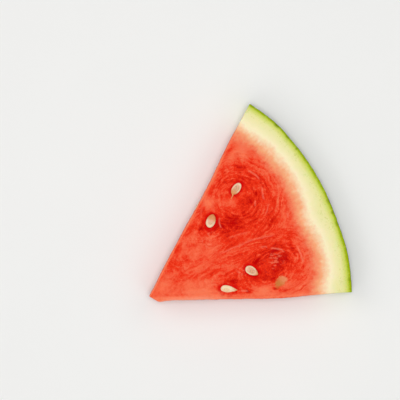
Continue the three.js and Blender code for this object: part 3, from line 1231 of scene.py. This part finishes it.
# The lamps: what each is called, where it stands from the wedge, its size and its share of the light.
LAMPS = (
    ("key_lamp", (-300.0, 600.0, 950.0), 700.0, 0.12),
    ("right_lamp", (650.0, 100.0, 950.0), 800.0, 0.08),
    ("front_lamp", (100.0, -650.0, 950.0), 800.0, 0.08),
    ("left_lamp", (-650.0, -250.0, 950.0), 800.0, 0.07),
    ("top_lamp", (0.0, 0.0, 1500.0), 500.0, 0.47),
)
DULL_LAMPS = ("top_lamp",)  # these light the wedge, but aren't mirrored in it
FLOOR_SIZE = 4000.0
SKY_SHARE = 0.22


def floor_material(look):
    recipe = Recipe("pale_floor")
    shade = recipe.place().grain(60.0).rise(-1, 1, 0.06)
    return recipe.finish(Base_Color=shade.blend(look.floor, look.cloud), Roughness=0.6)


def make_floor(look):
    bm = bmesh.new()
    bmesh.ops.create_grid(bm, x_segments=4, y_segments=4, size=FLOOR_SIZE / 2)
    return metres(bm, "floor", [floor_material(look)])


def make_lamp(name, place, size, share):
    """A round soft lamp that gives a level surface under it that share of full white."""
    lamp = link(bpy.data.objects.new(name, bpy.data.lights.new(name, "AREA")))
    lamp.data.shape = "DISK"
    lamp.data.size = size * MM
    lamp.location = Vector(place) * MM
    distance = lamp.location.length
    lamp.data.energy = share * pi**2 * distance**3 / lamp.location.z
    lamp.rotation_euler = (-lamp.location).to_track_quat("-Z", "Y").to_euler()
    lamp.visible_glossy = name not in DULL_LAMPS


def make_camera():
    camera = link(bpy.data.objects.new("camera", bpy.data.cameras.new("camera")))
    camera.data.sensor_width = SENSOR_WIDTH
    camera.data.lens = SENSOR_WIDTH * CAMERA_HEIGHT / VIEW_WIDTH
    camera.data.clip_start = 10 * MM
    place = Vector((CAMERA_OVER.x, CAMERA_OVER.y, TOP + CAMERA_HEIGHT))
    camera.location = place * MM
    camera.rotation_euler = (0, 0, CAMERA_TURN)
    bpy.context.scene.camera = camera


class MELON_OT_stage(bpy.types.Operator):
    """Make the pale floor, the soft light and the camera"""

    bl_idname = "melon.make_stage"
    bl_label = "Stage"

    def execute(self, context):
        look = context.scene.melon_stage
        make_floor(look)
        for name, place, size, share in LAMPS:
            make_lamp(name, place, size, share * look.light)
        world = bpy.data.worlds.new("pale_room")
        world.use_nodes = True
        sky = world.node_tree.nodes["Background"].inputs
        sky["Color"].default_value = (1.0, 1.0, 1.0, 1.0)
        sky["Strength"].default_value = SKY_SHARE * look.light
        context.scene.world = world
        context.scene.view_settings.view_transform = "Standard"
        make_camera()
        return {"FINISHED"}


class MELON_PT_panel(bpy.types.Panel):
    """The melon's operators and their settings"""

    bl_idname = "MELON_PT_panel"
    bl_label = "Watermelon Wedge"
    bl_space_type = "VIEW_3D"
    bl_region_type = "UI"
    bl_category = "Melon"

    def draw(self, context):
        for group, operators in SECTIONS:
            box = self.layout.box()
            settings = getattr(context.scene, group)
            for name in settings.__annotations__:
                box.prop(settings, name, text=name.replace("_", " ").capitalize())
            for operator in operators:
                box.operator(operator.bl_idname)


SECTIONS = (
    ("melon_wedge", (MELON_OT_wedge, MELON_OT_threads)),
    ("melon_seeds", (MELON_OT_seeds,)),
    ("melon_stage", (MELON_OT_stage,)),
)
GROUPS = {
    "melon_wedge": MelonWedgeProperties,
    "melon_seeds": MelonSeedProperties,
    "melon_stage": MelonStageProperties,
}
CLASSES = (
    *GROUPS.values(),
    MELON_OT_wedge,
    MELON_OT_seeds,
    MELON_OT_threads,
    MELON_OT_stage,
    MELON_PT_panel,
)


def register():
    for each in CLASSES:
        bpy.utils.register_class(each)
    for name, group in GROUPS.items():
        setattr(bpy.types.Scene, name, bpy.props.PointerProperty(type=group))


def unregister():
    for name in GROUPS:
        delattr(bpy.types.Scene, name)
    for each in reversed(CLASSES):
        bpy.utils.unregister_class(each)


def main():
    register()
    bpy.ops.melon.make_stage()
    bpy.ops.melon.make_wedge()
    bpy.ops.melon.make_seeds()
    bpy.ops.melon.make_threads()


if __name__ == "__main__":
    main()
